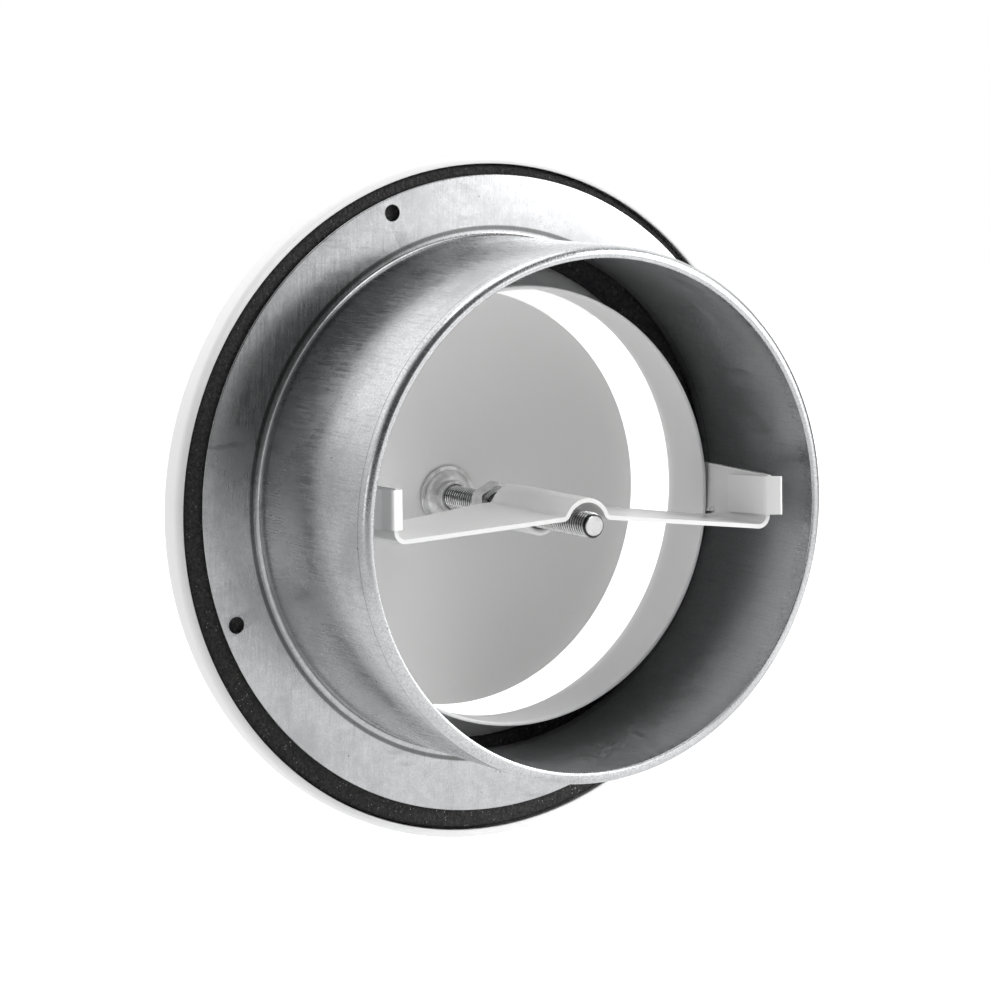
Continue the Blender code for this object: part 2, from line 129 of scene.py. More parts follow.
# Boss, spindle, bush and lock nut
BOSS_R = (BOSS_HIGH.x - BOSS_LOW.x) / 2
BOSS_BASE = 0.0006
BOSS_DOME_R = 0.0064
BOSS_NECK_R = 0.0040
BOSS_NECK = 0.0006
BOSS_COLLAR = 0.0014
BOSS_EDGE_R = 0.00015
BORE_R = 0.0033
SPINDLE_R = (SPINDLE_HIGH.x - SPINDLE_LOW.x) / 2
SPINDLE_CHAMFER = 0.0008
THREAD_PITCH = 0.0010
THREAD_DEPTH = 0.00061
BUSH_R = (BUSH_HIGH.x - BUSH_LOW.x) / 2
BUSH_COUNTERSINK = 0.0006
NUT_ACROSS_FLATS = NUT_HIGH.x - NUT_LOW.x
NUT_COUNTERSINK = 0.0004
NUT_FACE_IN = 0.0001
NUT_TURNED_REACH = 1.15

# Bridge
BRIDGE_SHEET = 0.0010
BRIDGE_REAR_STATION = BRIDGE_HIGH.y
BRIDGE_FRONT_STATION = BRIDGE_LOW.y
BRIDGE_APEX_Z = 0.0019
BRIDGE_SLOPE = radians(4.9)
ARCH_FOOT_R = 0.0014
END_BEND_R = 0.0025
TAB_REAR_X = 0.0503
TAB_TOP_Z = 0.0099
RELIEF_HOLE_R = 0.0013
TAPER_INNER_X = 0.0060
TAPER_OUTER_IN = 0.0072
TAPER_STATION = 0.0239
NOTCH_STATION = 0.0202
NOTCH_LIFT = 0.0010

# Spring clips
CLIP_SHEET = 0.0006
CLIP_HEIGHT = 0.0090
CLIP_BOTTOM_Z = 0.0006
CLIP_TILT = radians(4.0)
CLIP_INNER_LEG = 0.0177
CLIP_CORNER_X = 0.0525
CLIP_CORNER_REACH = 0.0021
CLIP_CREASE_DEPTH = 0.0014
CLIP_LEG_STATION = 0.0290
CLIP_TIP_STATION = 0.0245
CLIP_TIP_TUCK = 0.0014
CLIP_BEND_R = 0.0008

# Rounding of cut sheet edges, and steps of the fine surfaces
EDGE_R = 0.00014
MOUTH_EDGE_R = 0.00030
COAT_EDGE_R = 0.00028
LARGE_TURN = 320
SMALL_TURN = 96
FOAM_TURN = 620
FOAM_SPACING = 0.0009
THREAD_TURN = 48
THREAD_ROWS = 12
NUT_SIDE_STEPS = 14
NUT_ROWS = 12
DRILL_TURN = 40
BEND_STEPS = 10
DOME_STEPS = 12
SEAT_STEPS = 12
CURVE_STEPS = 28
EDGE_STEPS = 3

# Camera, fitted to the photograph: focal length 4000 px on its long side of 1000 px
CAMERA_PLACE = Vector((0.4885, 0.8159, 0.1004))
CAMERA_RIGHT = Vector((-0.85826, 0.51257, 0.02500))
CAMERA_DOWN = Vector((0.03317, 0.10403, -0.99400))
CAMERA_LENS = 144.0
CAMERA_SENSOR = 36.0

# Studio: brightness of the room behind the valve and before it, and of the room low down and high up.
# A wide glow at the duct side and a weak one at one side are added. A part behind the valve is shaded.
ROOM_BEHIND = 0.86
ROOM_BEFORE = 0.06
ROOM_LOW = 0.68
ROOM_HIGH = 1.6
GLOW_DIRECTION = (-0.68, 0.70, -0.14)
GLOW_LEVEL = 1.95
SIDE_DIRECTION = (0.94, 0.34, 0.0)
SIDE_LEVEL = 0.25
SHADE_DIRECTION = (-0.93, -0.36, 0.0)
SHADE_LEVEL = 0.3
LAMPS = (
    ("key_right", (-1.58, 1.17, 0.92), 1.15, 33.0),
    ("top", (0.1, 0.3, 1.6), 1.2, 8.0),
    ("left", (1.7, 0.68, 0.1), 0.6, 1.5),
)
FLOOR_DROP = 0.30
FLOOR_SIZE = 12.0
FLOOR_LEVEL = 0.8

# Sizes that follow
SLEEVE_MID_R = SLEEVE_OUTER_R - FRAME_SHEET / 2
SLEEVE_INNER_R = SLEEVE_OUTER_R - FRAME_SHEET
THROAT_MID_R = THROAT_R + BODY_SHEET / 2
RIM_MID_R = BODY_OUTER_R - BODY_SHEET / 2
CREST_MID_STATION = CREST_STATION + BODY_SHEET / 2
DISC_FLOOR_STATION = DISC_RIM_STATION - DISC_DEPTH
ARCH_R = BUSH_R + GAP + BRIDGE_SHEET / 2
SLOT_INNER_R = THROAT_R - GAP
SLOT_OUTER_R = THROAT_R + BODY_SHEET + GAP
SLOT_STATION = THROAT_STATION + GAP
TAB_SLOT_X = SLOT_OUTER_R + BRIDGE_SHEET / 2 + 0.5 * GAP
TAB_FLARE = (TAB_SLOT_X - TAB_REAR_X) / (BRIDGE_REAR_STATION - SLOT_STATION)


# Outlines

def rounded(corners, steps=BEND_STEPS):
    """Turn corners (across, along, radius) into a line whose corners are arcs."""
    points = [Vector(corners[0][:2])]
    for before, here, after in zip(corners, corners[1:], corners[2:]):
        corner = Vector(here[:2])
        back = (Vector(before[:2]) - corner).normalized()
        ahead = (Vector(after[:2]) - corner).normalized()
        radius = here[2]
        half = back.angle(ahead) / 2
        centre = corner + (back + ahead).normalized() * radius / sin(half)
        start = corner + back * radius / tan(half) - centre
        end = corner + ahead * radius / tan(half) - centre
        sweep = start.angle_signed(end)
        for step in range(steps + 1):
            points.append(centre + Matrix.Rotation(-sweep * step / steps, 2) @ start)
    points.append(Vector(corners[-1][:2]))
    return points


def ellipse_arc(centre, across, along, start, end, steps, power=1.0):
    """Part of an ellipse. A power below 1 makes it fuller, nearer to a rounded box."""
    points = []
    for step in range(steps + 1):
        angle = start + (end - start) * step / steps
        x = copysign(abs(cos(angle)) ** power, cos(angle))
        y = copysign(abs(sin(angle)) ** power, sin(angle))
        points.append(Vector((centre[0] + across * x, centre[1] + along * y)))
    return points


def side_of(line, distance):
    """The line moved sideways by a distance, to the left of its run where that is positive."""
    moved = []
    for index, point in enumerate(line):
        before = (point - line[index - 1]).normalized() if index else None
        after = (line[index + 1] - point).normalized() if index + 1 < len(line) else None
        before = before or after
        after = after or before
        normal = Vector((-before.y - after.y, before.x + after.x)).normalized()
        stretch = 1 / max(0.5, normal.dot(Vector((-before.y, before.x))))
        moved.append(point + normal * distance * stretch)
    return moved


def rounded_end(left, right, inward, radius):
    """The end of a sheet between its two sides, with its cut edges rounded."""
    across = (right - left).normalized()
    points = []
    for corner, start in ((left + across * radius, -across), (right - across * radius, -inward)):
        other = -inward if start == -across else across
        for step in range(EDGE_STEPS + 1):
            angle = pi / 2 * step / EDGE_STEPS
            points.append(corner + inward * radius + (start * cos(angle) + other * sin(angle)) * radius)
    return points


def sheet_outline(line, thickness, radius, round_start=True):
    """Closed outline of a sheet whose middle follows the line."""
    left = side_of(line, thickness / 2)
    right = side_of(line, -thickness / 2)
    end = rounded_end(left[-1], right[-1], (line[-2] - line[-1]).normalized(), radius)
    outline = left[1:-1] + end + right[-2:0:-1]
    if round_start:
        return outline + rounded_end(right[0], left[0], (line[1] - line[0]).normalized(), radius)
    return [left[0]] + outline + [right[0]]


def resampled(outline, spacing):
    """A closed outline with points no further apart than the spacing."""
    points = []
    for one, two in zip(outline, outline[1:] + outline[:1]):
        pieces = max(1, round((two - one).length / spacing))
        points += [one.lerp(two, step / pieces) for step in range(pieces)]
    return points


# Meshes

def finish_mesh(name, bm, sharp=None):
    """A piece from a mesh in its making, closed and facing out."""
    bmesh.ops.remove_doubles(bm, verts=bm.verts, dist=1e-7)
    bmesh.ops.recalc_face_normals(bm, faces=bm.faces)
    mesh = bpy.data.meshes.new(name)
    bm.to_mesh(mesh)
    bm.free()
    mesh.shade_smooth()
    if sharp:
        mesh.set_sharp_from_angle(angle=sharp)
    piece = bpy.data.objects.new(name, mesh)
    bpy.context.scene.collection.objects.link(piece)
    return piece


def grid_faces(bm, rows, closed_rows):
    """Quads between rows of vertices. Each row is a closed ring. The rows may close on each other too."""
    pairs = list(zip(rows, rows[1:]))
    if closed_rows:
        pairs.append((rows[-1], rows[0]))
    for one, two in pairs:
        count = len(one)
        for index in range(count):
            after = (index + 1) % count
            bm.faces.new((one[index], one[after], two[after], two[index]))


def turned(name, outline, centre, steps=LARGE_TURN, closed=True, roughen=None, sharp=None):
    """Turn an outline (radius, station) round an axis along Y. An open one starts and ends on the axis."""
    bm = bmesh.new()
    rows = []
    for radius, station in outline:
        ring = []
        for step in range(steps):
            angle = 2 * pi * step / steps
            place = Vector((radius * sin(angle), station, radius * cos(angle)))
            if roughen:
                place = roughen(place)
            ring.append(bm.verts.new(place + centre))
        rows.append(ring)
    grid_faces(bm, rows, closed)
    return finish_mesh(name, bm, sharp)


def strip(name, rows, thickness):
    """A sheet from rows of points, given its thickness."""
    bm = bmesh.new()
    verts = [[bm.verts.new(point) for point in row] for row in rows]
    for one, two in zip(verts, verts[1:]):
        for index in range(len(one) - 1):
            bm.faces.new((one[index], one[index + 1], two[index + 1], two[index]))
    mesh = bpy.data.meshes.new(name)
    bm.to_mesh(mesh)
    bm.free()
    mesh.shade_smooth()
    piece = bpy.data.objects.new(name, mesh)
    bpy.context.scene.collection.objects.link(piece)
    solidify = piece.modifiers.new("sheet", "SOLIDIFY")
    solidify.thickness = thickness
    solidify.offset = 0.0
    solidify.use_even_offset = True
    return piece


def round_edges(piece, width):
    bevel = piece.modifiers.new("rounded_edges", "BEVEL")
    bevel.width = width
    bevel.segments = EDGE_STEPS
    bevel.limit_method = "ANGLE"
    bevel.angle_limit = radians(40)
    bevel.harden_normals = True


def cut(piece, cutter):
    boolean = piece.modifiers.new("cut", "BOOLEAN")
    boolean.operation = "DIFFERENCE"
    boolean.solver = "EXACT"
    boolean.object = cutter


def apply_modifiers(piece):
    """Replace a piece's mesh with the one that its modifiers make."""
    bpy.context.view_layer.update()
    seen = piece.evaluated_get(bpy.context.evaluated_depsgraph_get())
    mesh = bpy.data.meshes.new_from_object(seen)
    piece.modifiers.clear()
    old = piece.data
    piece.data = mesh
    bpy.data.meshes.remove(old)


def drill(name, radius, length, centre, direction):
    bm = bmesh.new()
    turn = Vector((0, 0, 1)).rotation_difference(Vector(direction)).to_matrix().to_4x4()
    bmesh.ops.create_cone(bm, cap_ends=True, segments=DRILL_TURN, radius1=radius, radius2=radius,
                          depth=length, matrix=Matrix.Translation(centre) @ turn)
    mesh = bpy.data.meshes.new(name)
    bm.to_mesh(mesh)
    bm.free()
    cutter = bpy.data.objects.new(name, mesh)
    bpy.context.scene.collection.objects.link(cutter)
    return cutter


def dress(piece, node, material):
    """Let a piece stand for a node, on that node's body and with its finish."""
    piece.data.materials.clear()
    piece.data.materials.append(material)
    body = next(name for name, nodes in frame["record"]["behaviour"]["bodies"].items() if node in nodes)
    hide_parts(node)
    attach(piece, body)


# Pieces

def body_curve(inset, steps):
    """The trumpet and the outer quarter of the rim, set in from the middle of the sheet."""
    trumpet = ellipse_arc((CREST_R, TRUMPET_STATION), CREST_R - THROAT_MID_R - inset,
                          TRUMPET_STATION - CREST_MID_STATION - inset, pi, 1.5 * pi, steps)
    rim = ellipse_arc((CREST_R, RIM_STATION), RIM_MID_R - CREST_R - inset,
                      RIM_STATION - CREST_MID_STATION - inset, 1.5 * pi, 2 * pi, steps, RIM_FULLNESS)
    return trumpet + rim[1:]


def make_mounting_frame():
    tangent = tan(pi / 4 + MOUTH_SLOPE / 2)
    corner = SLEEVE_LENGTH - FRAME_SHEET / 2 + MOUTH_CURL_R * (tangent - 1)
    line = rounded([
        (FLANGE_OUTER_R, -FRAME_SHEET / 2, 0.0),
        (SLEEVE_MID_R, -FRAME_SHEET / 2, FLANGE_FILLET_R),
        (SLEEVE_MID_R, corner, MOUTH_CURL_R),
        (MOUTH_INNER_R, corner - (SLEEVE_MID_R - MOUTH_INNER_R) * tan(MOUTH_SLOPE), 0.0),
    ])
    outline = sheet_outline(line, FRAME_SHEET, MOUTH_EDGE_R)
    piece = turned("mounting_frame_sheet", outline, FRAME_AXIS)
    for index in range(SCREW_COUNT):
        angle = SCREW_TURN + 2 * pi * index / SCREW_COUNT
        place = (SCREW_CIRCLE_R * sin(angle), -FRAME_SHEET / 2, SCREW_CIRCLE_R * cos(angle))
        cutter = drill("screw_hole", SCREW_HOLE_R, 4 * FRAME_SHEET, place, (0, 1, 0))
        cut(piece, cutter)
        apply_modifiers(piece)
        bpy.data.objects.remove(cutter)
    piece.data.shade_smooth()
    piece.data.set_sharp_from_angle(angle=radians(50))
    return piece


def make_valve_body():
    curl_centre = (RIM_MID_R - LIP_CURL_R, RIM_STATION)
    curl = ellipse_arc(curl_centre, LIP_CURL_R, LIP_CURL_R, 0.0, pi / 2, BEND_STEPS)
    line = [Vector((THROAT_MID_R, THROAT_STATION))] + body_curve(0.0, CURVE_STEPS)
    line += curl[1:] + [Vector((LIP_INNER_R, RIM_STATION + LIP_CURL_R))]
    return turned("valve_body_sheet", sheet_outline(line, BODY_SHEET, COAT_EDGE_R), BODY_AXIS)


def foam_surface(place):
    """Cut foam: a point pushed in or out by a fine and a coarse unevenness."""
    fine = noise.noise_vector(place / FOAM_GRAIN)
    coarse = noise.noise_vector(place / (9 * FOAM_GRAIN))
    return place + (fine + coarse) * FOAM_ROUGHNESS * 0.5


def make_gasket():
    outer_r = LIP_INNER_R - GAP
    inset = BODY_SHEET / 2 + GAP + FOAM_ROUGHNESS
    rear = GASKET_STATION - FOAM_ROUGHNESS / 2
    seat = [point for point in body_curve(inset, SEAT_STEPS) if GASKET_INNER_R < point.x < outer_r]
    deep = min(point.y for point in seat)
    inner_seat = max(deep, seat[0].y)
    outer_seat = max(deep, seat[-1].y)
    outline = [
        Vector((GASKET_INNER_R, rear - GASKET_EDGE)), Vector((GASKET_INNER_R + GASKET_EDGE, rear)),
        Vector((outer_r - GASKET_EDGE, rear)), Vector((outer_r, rear - GASKET_EDGE)),
        Vector((outer_r, outer_seat)),
    ]
    outline += reversed(seat)
    outline.append(Vector((GASKET_INNER_R, inner_seat)))
    outline = resampled(outline, FOAM_SPACING)
    return turned("foam_gasket_ring", outline, BODY_AXIS, FOAM_TURN, roughen=foam_surface)


def make_valve_disc():
    """A pan that is dished up to a sharp bend, with a flatter band from there to the rim."""
    line = []
    for step in range(CURVE_STEPS + 1):
        share = step / CURVE_STEPS
        line.append(Vector((DISC_DISH_R * share, DISC_FLOOR_STATION + DISC_DISH_RISE * share ** 2)))
    bend = DISC_FLOOR_STATION + DISC_DISH_RISE + DISC_BEND_RISE
    line.append(Vector((DISC_DISH_R + DISC_BEND_WIDTH, bend)))
    line.append(Vector((DISC_OUTER_R - DISC_SHEET / 2, DISC_RIM_STATION)))
    outline = sheet_outline(line, DISC_SHEET, COAT_EDGE_R, round_start=False)
    outline[0].x = 0.0
    outline[-1].x = 0.0
    return turned("valve_disc_pan", outline, BRIDGE_AXIS, closed=False)


def make_boss():
    seat = BOSS_LOW.y
    top = BOSS_HIGH.y
    shoulder = seat + BOSS_BASE
    crown = top - BOSS_NECK
    collar = top + BOSS_COLLAR
    outline = [
        Vector((BORE_R, collar)), Vector((BOSS_NECK_R - BOSS_EDGE_R, collar)),
        Vector((BOSS_NECK_R, collar - BOSS_EDGE_R)),
    ]
    outline += ellipse_arc((BOSS_NECK_R, shoulder), BOSS_DOME_R - BOSS_NECK_R, crown - shoulder,
                           pi / 2, 0.0, DOME_STEPS)
    outline += [
        Vector((BOSS_R - BOSS_EDGE_R, shoulder)), Vector((BOSS_R, shoulder - BOSS_EDGE_R)),
        Vector((BOSS_R, seat)), Vector((BORE_R, seat)),
    ]
    return turned("spindle_boss_dome", outline, BRIDGE_AXIS, SMALL_TURN, sharp=radians(40))


def thread_depth_at(phase):
    """Depth below the crest at a place in the pitch from 0 to 1: crest, flank, root and flank again."""
    crest = 1 / 8
    root = 1 / 4
    flank = (1 - crest - root) / 2
    place = abs((phase % 1) - 0.5)
    if place < root / 2:
        return 1.0
    if place < root / 2 + flank:
        return 1 - (place - root / 2) / flank
    return 0.0


def make_spindle():
    """A right-hand thread, as a surface whose radius depends on angle and station."""
    front = SPINDLE_LOW.y
    rear = SPINDLE_HIGH.y
    count = round((rear - front) / THREAD_PITCH * THREAD_ROWS)
    bm = bmesh.new()
    rows = []
    for row in range(count + 1):
        station = front + (rear - front) * row / count
        bevelled = SPINDLE_R - SPINDLE_CHAMFER + min(station - front, rear - station)
        ring = []
        for step in range(THREAD_TURN):
            angle = 2 * pi * step / THREAD_TURN
            depth = THREAD_DEPTH * thread_depth_at(station / THREAD_PITCH - step / THREAD_TURN)
            radius = min(SPINDLE_R - depth, bevelled)
            place = Vector((radius * sin(angle), station, radius * cos(angle)))
            ring.append(bm.verts.new(BRIDGE_AXIS + place))
        rows.append(ring)
    grid_faces(bm, rows, False)
    bm.faces.new(list(reversed(rows[0])))
    bm.faces.new(rows[-1])
    return finish_mesh("spindle_thread", bm, radians(38))


def make_bush():
    front = BUSH_LOW.y
    rear = BUSH_HIGH.y
    mouth_r = BORE_R + BUSH_COUNTERSINK
    soft = COAT_EDGE_R
    outline = [
        Vector((mouth_r, rear)), Vector((BUSH_R - soft, rear)),
        Vector((BUSH_R - 0.3 * soft, rear - 0.3 * soft)), Vector((BUSH_R, rear - soft)),
        Vector((BUSH_R, front)), Vector((BORE_R, front)), Vector((BORE_R, rear - BUSH_COUNTERSINK)),
    ]
    return turned("threaded_bush_sleeve", outline, BRIDGE_AXIS, SMALL_TURN, sharp=radians(50))


def make_lock_nut():
    """A hexagon whose corners are turned off at both ends, as a radius that depends on angle and station."""
    front = NUT_LOW.y
    rear = NUT_HIGH.y
    face_r = NUT_ACROSS_FLATS / 2
    corner_r = face_r / cos(pi / 6)
    turned_depth = (corner_r - face_r) * tan(pi / 6) * NUT_TURNED_REACH
    rise = [turned_depth * step / NUT_ROWS for step in range(NUT_ROWS + 1)]
    outside = [front + step for step in rise] + [rear - step for step in reversed(rise)]
    angles = [2 * pi * step / (6 * NUT_SIDE_STEPS) for step in range(6 * NUT_SIDE_STEPS)]
    bm = bmesh.new()

    def ring(station, radius_at):
        verts = []
        for angle in angles:
            radius = radius_at(angle)
            place = Vector((radius * sin(angle), station, radius * cos(angle)))
            verts.append(bm.verts.new(BRIDGE_AXIS + place))
        return verts

    def hexagon_ring(station):
        turned_r = face_r - NUT_FACE_IN + min(station - front, rear - station) / tan(pi / 6)
        return ring(station, lambda angle: min(face_r / cos(angle % (pi / 3) - pi / 6), turned_r))

    rows = [ring(front + NUT_COUNTERSINK, lambda angle: BORE_R)]
    rows.append(ring(front, lambda angle: BORE_R + NUT_COUNTERSINK))
    rows += [hexagon_ring(station) for station in outside]
    rows.append(ring(rear, lambda angle: BORE_R + NUT_COUNTERSINK))
    rows.append(ring(rear - NUT_COUNTERSINK, lambda angle: BORE_R))
    grid_faces(bm, rows, True)
    return finish_mesh("lock_nut_hexagon", bm, radians(24))


def tab_x(station):
    return TAB_REAR_X + TAB_FLARE * (BRIDGE_REAR_STATION - station)


def bridge_line(station):
    """The strip's whole section at a station, from one tab's top over the arch to the other's."""
    normal = Vector((sin(BRIDGE_SLOPE), cos(BRIDGE_SLOPE)))
    along = Vector((cos(BRIDGE_SLOPE), -sin(BRIDGE_SLOPE)))
    lift = BRIDGE_APEX_Z * cos(BRIDGE_SLOPE) + ARCH_FOOT_R
    foot = normal * lift + along * sqrt((ARCH_R + ARCH_FOOT_R) ** 2 - lift ** 2)
    foot_angle = atan2(foot.y, foot.x)
    arch = ellipse_arc((0.0, 0.0), ARCH_R, ARCH_R, pi / 2, foot_angle, 2 * BEND_STEPS)
    fillet = ellipse_arc(foot, ARCH_FOOT_R, ARCH_FOOT_R, foot_angle + pi, 1.5 * pi - BRIDGE_SLOPE,
                         BEND_STEPS)
    end_x = tab_x(station)
    end_z = BRIDGE_APEX_Z - end_x * tan(BRIDGE_SLOPE)
    tab = rounded([(*fillet[-1], 0.0), (end_x, end_z, END_BEND_R), (end_x, TAB_TOP_Z, 0.0)])
    half = arch + fillet[1:] + tab[1:]
    other = [Vector((-point.x, point.y)) for point in reversed(half[1:])]
    return other + half


def taper(side):
    """A prism that takes the front corner off one half of the strip, below the free part of its tab."""
    far_x = TAB_SLOT_X + 2 * BRIDGE_SHEET
    front = BRIDGE_FRONT_STATION - 3 * BRIDGE_SHEET
    plan = [
        (TAPER_INNER_X, BRIDGE_FRONT_STATION - BRIDGE_SHEET), (THROAT_R - TAPER_OUTER_IN, TAPER_STATION),
        (THROAT_R, NOTCH_STATION), (far_x, NOTCH_STATION), (far_x, front), (TAPER_INNER_X, front),
    ]
    bm = bmesh.new()
    top = BRIDGE_APEX_Z + NOTCH_LIFT
    rings = []
    for lift in (False, True):
        ring = []
        for x, station in plan:
            z = top - x * tan(BRIDGE_SLOPE) if lift else -TAB_TOP_Z
            ring.append(bm.verts.new(BRIDGE_AXIS + Vector((side * x, station, z))))
        rings.append(ring)
    grid_faces(bm, rings, False)
    for ring in rings:
        bm.faces.new(ring)
    return finish_mesh("front_taper", bm)


def make_bridge():
    rows = []
    for station in (BRIDGE_REAR_STATION, BRIDGE_FRONT_STATION):
        rows.append([BRIDGE_AXIS + Vector((point.x, station, point.y)) for point in bridge_line(station)])
    piece = strip("bridge_strip", rows, BRIDGE_SHEET)
    front = BRIDGE_FRONT_STATION - 2 * BRIDGE_SHEET
    slot = turned("collar_slot", [
        Vector((SLOT_INNER_R, SLOT_STATION)), Vector((SLOT_OUTER_R, SLOT_STATION)),
        Vector((SLOT_OUTER_R, front)), Vector((SLOT_INNER_R, front)),
    ], BODY_AXIS)
    cutters = [slot]
    bend_x = tab_x(NOTCH_STATION) - END_BEND_R
    bend_z = BRIDGE_APEX_Z - tab_x(NOTCH_STATION) * tan(BRIDGE_SLOPE) + END_BEND_R
    for side in (-1, 1):
        cutters.append(taper(side))
        x = side * (bend_x + END_BEND_R * cos(pi / 4))
        place = BRIDGE_AXIS + Vector((x, NOTCH_STATION, bend_z - END_BEND_R * sin(pi / 4)))
        cutters.append(drill("relief_hole", RELIEF_HOLE_R, 2 * END_BEND_R, place, (side, 0, -1)))
    for cutter in cutters:
        cut(piece, cutter)
        apply_modifiers(piece)
        bpy.data.objects.remove(cutter)
    round_edges(piece, COAT_EDGE_R)
    piece.data.shade_smooth()
    return piece


def clip_line(side):
    """The clip from above: inner leg, bend round the tab's edge, sharp corner, crease and outer leg."""
    beside = BRIDGE_SHEET / 2 + GAP + CLIP_SHEET / 2
    edge = BRIDGE_REAR_STATION + GAP + CLIP_SHEET / 2
    leg_front = edge - CLIP_INNER_LEG
    crease = edge - CLIP_CREASE_DEPTH - CLIP_CORNER_REACH
    touch_x = SLEEVE_INNER_R - GAP - CLIP_SHEET
    height_in_sleeve = CLIP_BOTTOM_Z + CLIP_HEIGHT + BRIDGE_AXIS.z
    wall_x = sqrt(touch_x ** 2 - height_in_sleeve ** 2) - side * BRIDGE_AXIS.x
    return rounded([
        (tab_x(leg_front) - beside, leg_front, 0.0),
        (tab_x(edge) - beside, edge, CLIP_BEND_R),
        (CLIP_CORNER_X, edge + CLIP_CORNER_REACH, CLIP_SHEET / 2),
        (tab_x(crease) + beside + GAP, crease, CLIP_SHEET / 2),
        (wall_x, CLIP_LEG_STATION, 3 * CLIP_BEND_R),
        (wall_x - CLIP_TIP_TUCK, CLIP_TIP_STATION, 0.0),
    ])


def make_clip(name, side):
    """A strip of spring sheet on edge, tipped a little down at the front."""
    tip = Matrix.Rotation(CLIP_TILT, 4, "X")
    foot = BRIDGE_AXIS + Vector((0.0, BRIDGE_REAR_STATION, CLIP_BOTTOM_Z))
    rows = []
    for height in (0.0, CLIP_HEIGHT):
        row = []
        for point in clip_line(side):
            row.append(foot + tip @ Vector((point.x * side, point.y - BRIDGE_REAR_STATION, height)))
        rows.append(row)
    piece = strip(name, rows, CLIP_SHEET)
    round_edges(piece, EDGE_R)
    return piece


# Materials

class Nodes:
    """Short calls for the nodes of one material."""

    def __init__(self, name):
        self.material = bpy.data.materials.new(name)
        self.material.use_nodes = True
        self.tree = self.material.node_tree
        self.shader = self.tree.nodes["Principled BSDF"]
        self.place = self.add("ShaderNodeTexCoord").outputs["Object"]

    def add(self, kind, **settings):
        node = self.tree.nodes.new(kind)
        for key, value in settings.items():
            setattr(node, key, value)
        return node

    def put(self, socket, value):
        if isinstance(value, bpy.types.NodeSocket):
            self.tree.links.new(value, socket)
        else:
            socket.default_value = value

    def scaled(self, scale, turn=(0.0, 0.0, 0.0)):
        node = self.add("ShaderNodeMapping")
        self.put(node.inputs["Vector"], self.place)
        node.inputs["Scale"].default_value = scale
        node.inputs["Rotation"].default_value = turn
        return node.outputs["Vector"]

    def noise(self, vector, scale, detail=4.0, roughness=0.55, distortion=0.0):
        node = self.add("ShaderNodeTexNoise")
        self.put(node.inputs["Vector"], vector)
        node.inputs["Scale"].default_value = scale
        node.inputs["Detail"].default_value = detail
        node.inputs["Roughness"].default_value = roughness
        node.inputs["Distortion"].default_value = distortion
        return node.outputs["Fac"]

    def cells(self, vector, scale):
        """Distance to the nearest of many scattered points."""
        node = self.add("ShaderNodeTexVoronoi")
        self.put(node.inputs["Vector"], vector)
        node.inputs["Scale"].default_value = scale
        return node.outputs["Distance"]

    def ranged(self, value, low, high, to_low=0.0, to_high=1.0):
        node = self.add("ShaderNodeMapRange")
        node.interpolation_type = "SMOOTHSTEP"
        self.put(node.inputs["Value"], value)
        for key, number in (("From Min", low), ("From Max", high), ("To Min", to_low), ("To Max", to_high)):
            node.inputs[key].default_value = number
        return node.outputs["Result"]

    def math(self, operation, one, two=0.0):
        node = self.add("ShaderNodeMath", operation=operation)
        self.put(node.inputs[0], one)
        self.put(node.inputs[1], two)
        return node.outputs["Value"]

    def mixed_value(self, factor, one, two):
        node = self.add("ShaderNodeMix", data_type="FLOAT")
        self.put(node.inputs["Factor"], factor)
        self.put(node.inputs["A"], one)
        self.put(node.inputs["B"], two)
        return node.outputs["Result"]

    def radius_about(self, centre):
        """Distance from an axis along Y through the centre."""
        moved = self.add("ShaderNodeVectorMath", operation="SUBTRACT")
        self.put(moved.inputs[0], self.place)
        moved.inputs[1].default_value = centre
        across = self.add("ShaderNodeVectorMath", operation="MULTIPLY")
        self.put(across.inputs[0], moved.outputs["Vector"])
        across.inputs[1].default_value = (1.0, 0.0, 1.0)
        length = self.add("ShaderNodeVectorMath", operation="LENGTH")
        self.put(length.inputs[0], across.outputs["Vector"])
        return length.outputs["Value"]

    def mixed(self, factor, one, two):
        node = self.add("ShaderNodeMix", data_type="RGBA")
        self.put(node.inputs["Factor"], factor)
        self.put(node.inputs["A"], one if isinstance(one, bpy.types.NodeSocket) else (*one, 1.0))
        self.put(node.inputs["B"], two if isinstance(two, bpy.types.NodeSocket) else (*two, 1.0))
        return node.outputs["Result"]

    def axis(self, letter):
        node = self.add("ShaderNodeSeparateXYZ")
        self.put(node.inputs[0], self.place)
        return node.outputs[letter]

    def bump(self, height, distance, strength=1.0, before=None):
        node = self.add("ShaderNodeBump")
        self.put(node.inputs["Height"], height)
        node.inputs["Distance"].default_value = distance
        node.inputs["Strength"].default_value = strength
        if before:
            self.put(node.inputs["Normal"], before)
        return node.outputs["Normal"]

    def surface(self, colour, roughness, metallic, normal=None):
        self.put(self.shader.inputs["Base Color"], colour)
        self.put(self.shader.inputs["Roughness"], roughness)
        self.shader.inputs["Metallic"].default_value = metallic
        if normal:
            self.put(self.shader.inputs["Normal"], normal)
        return self.material


def grey(value, warmth=0.0):
    return (value * (1 + warmth), value, value * (1 - warmth))


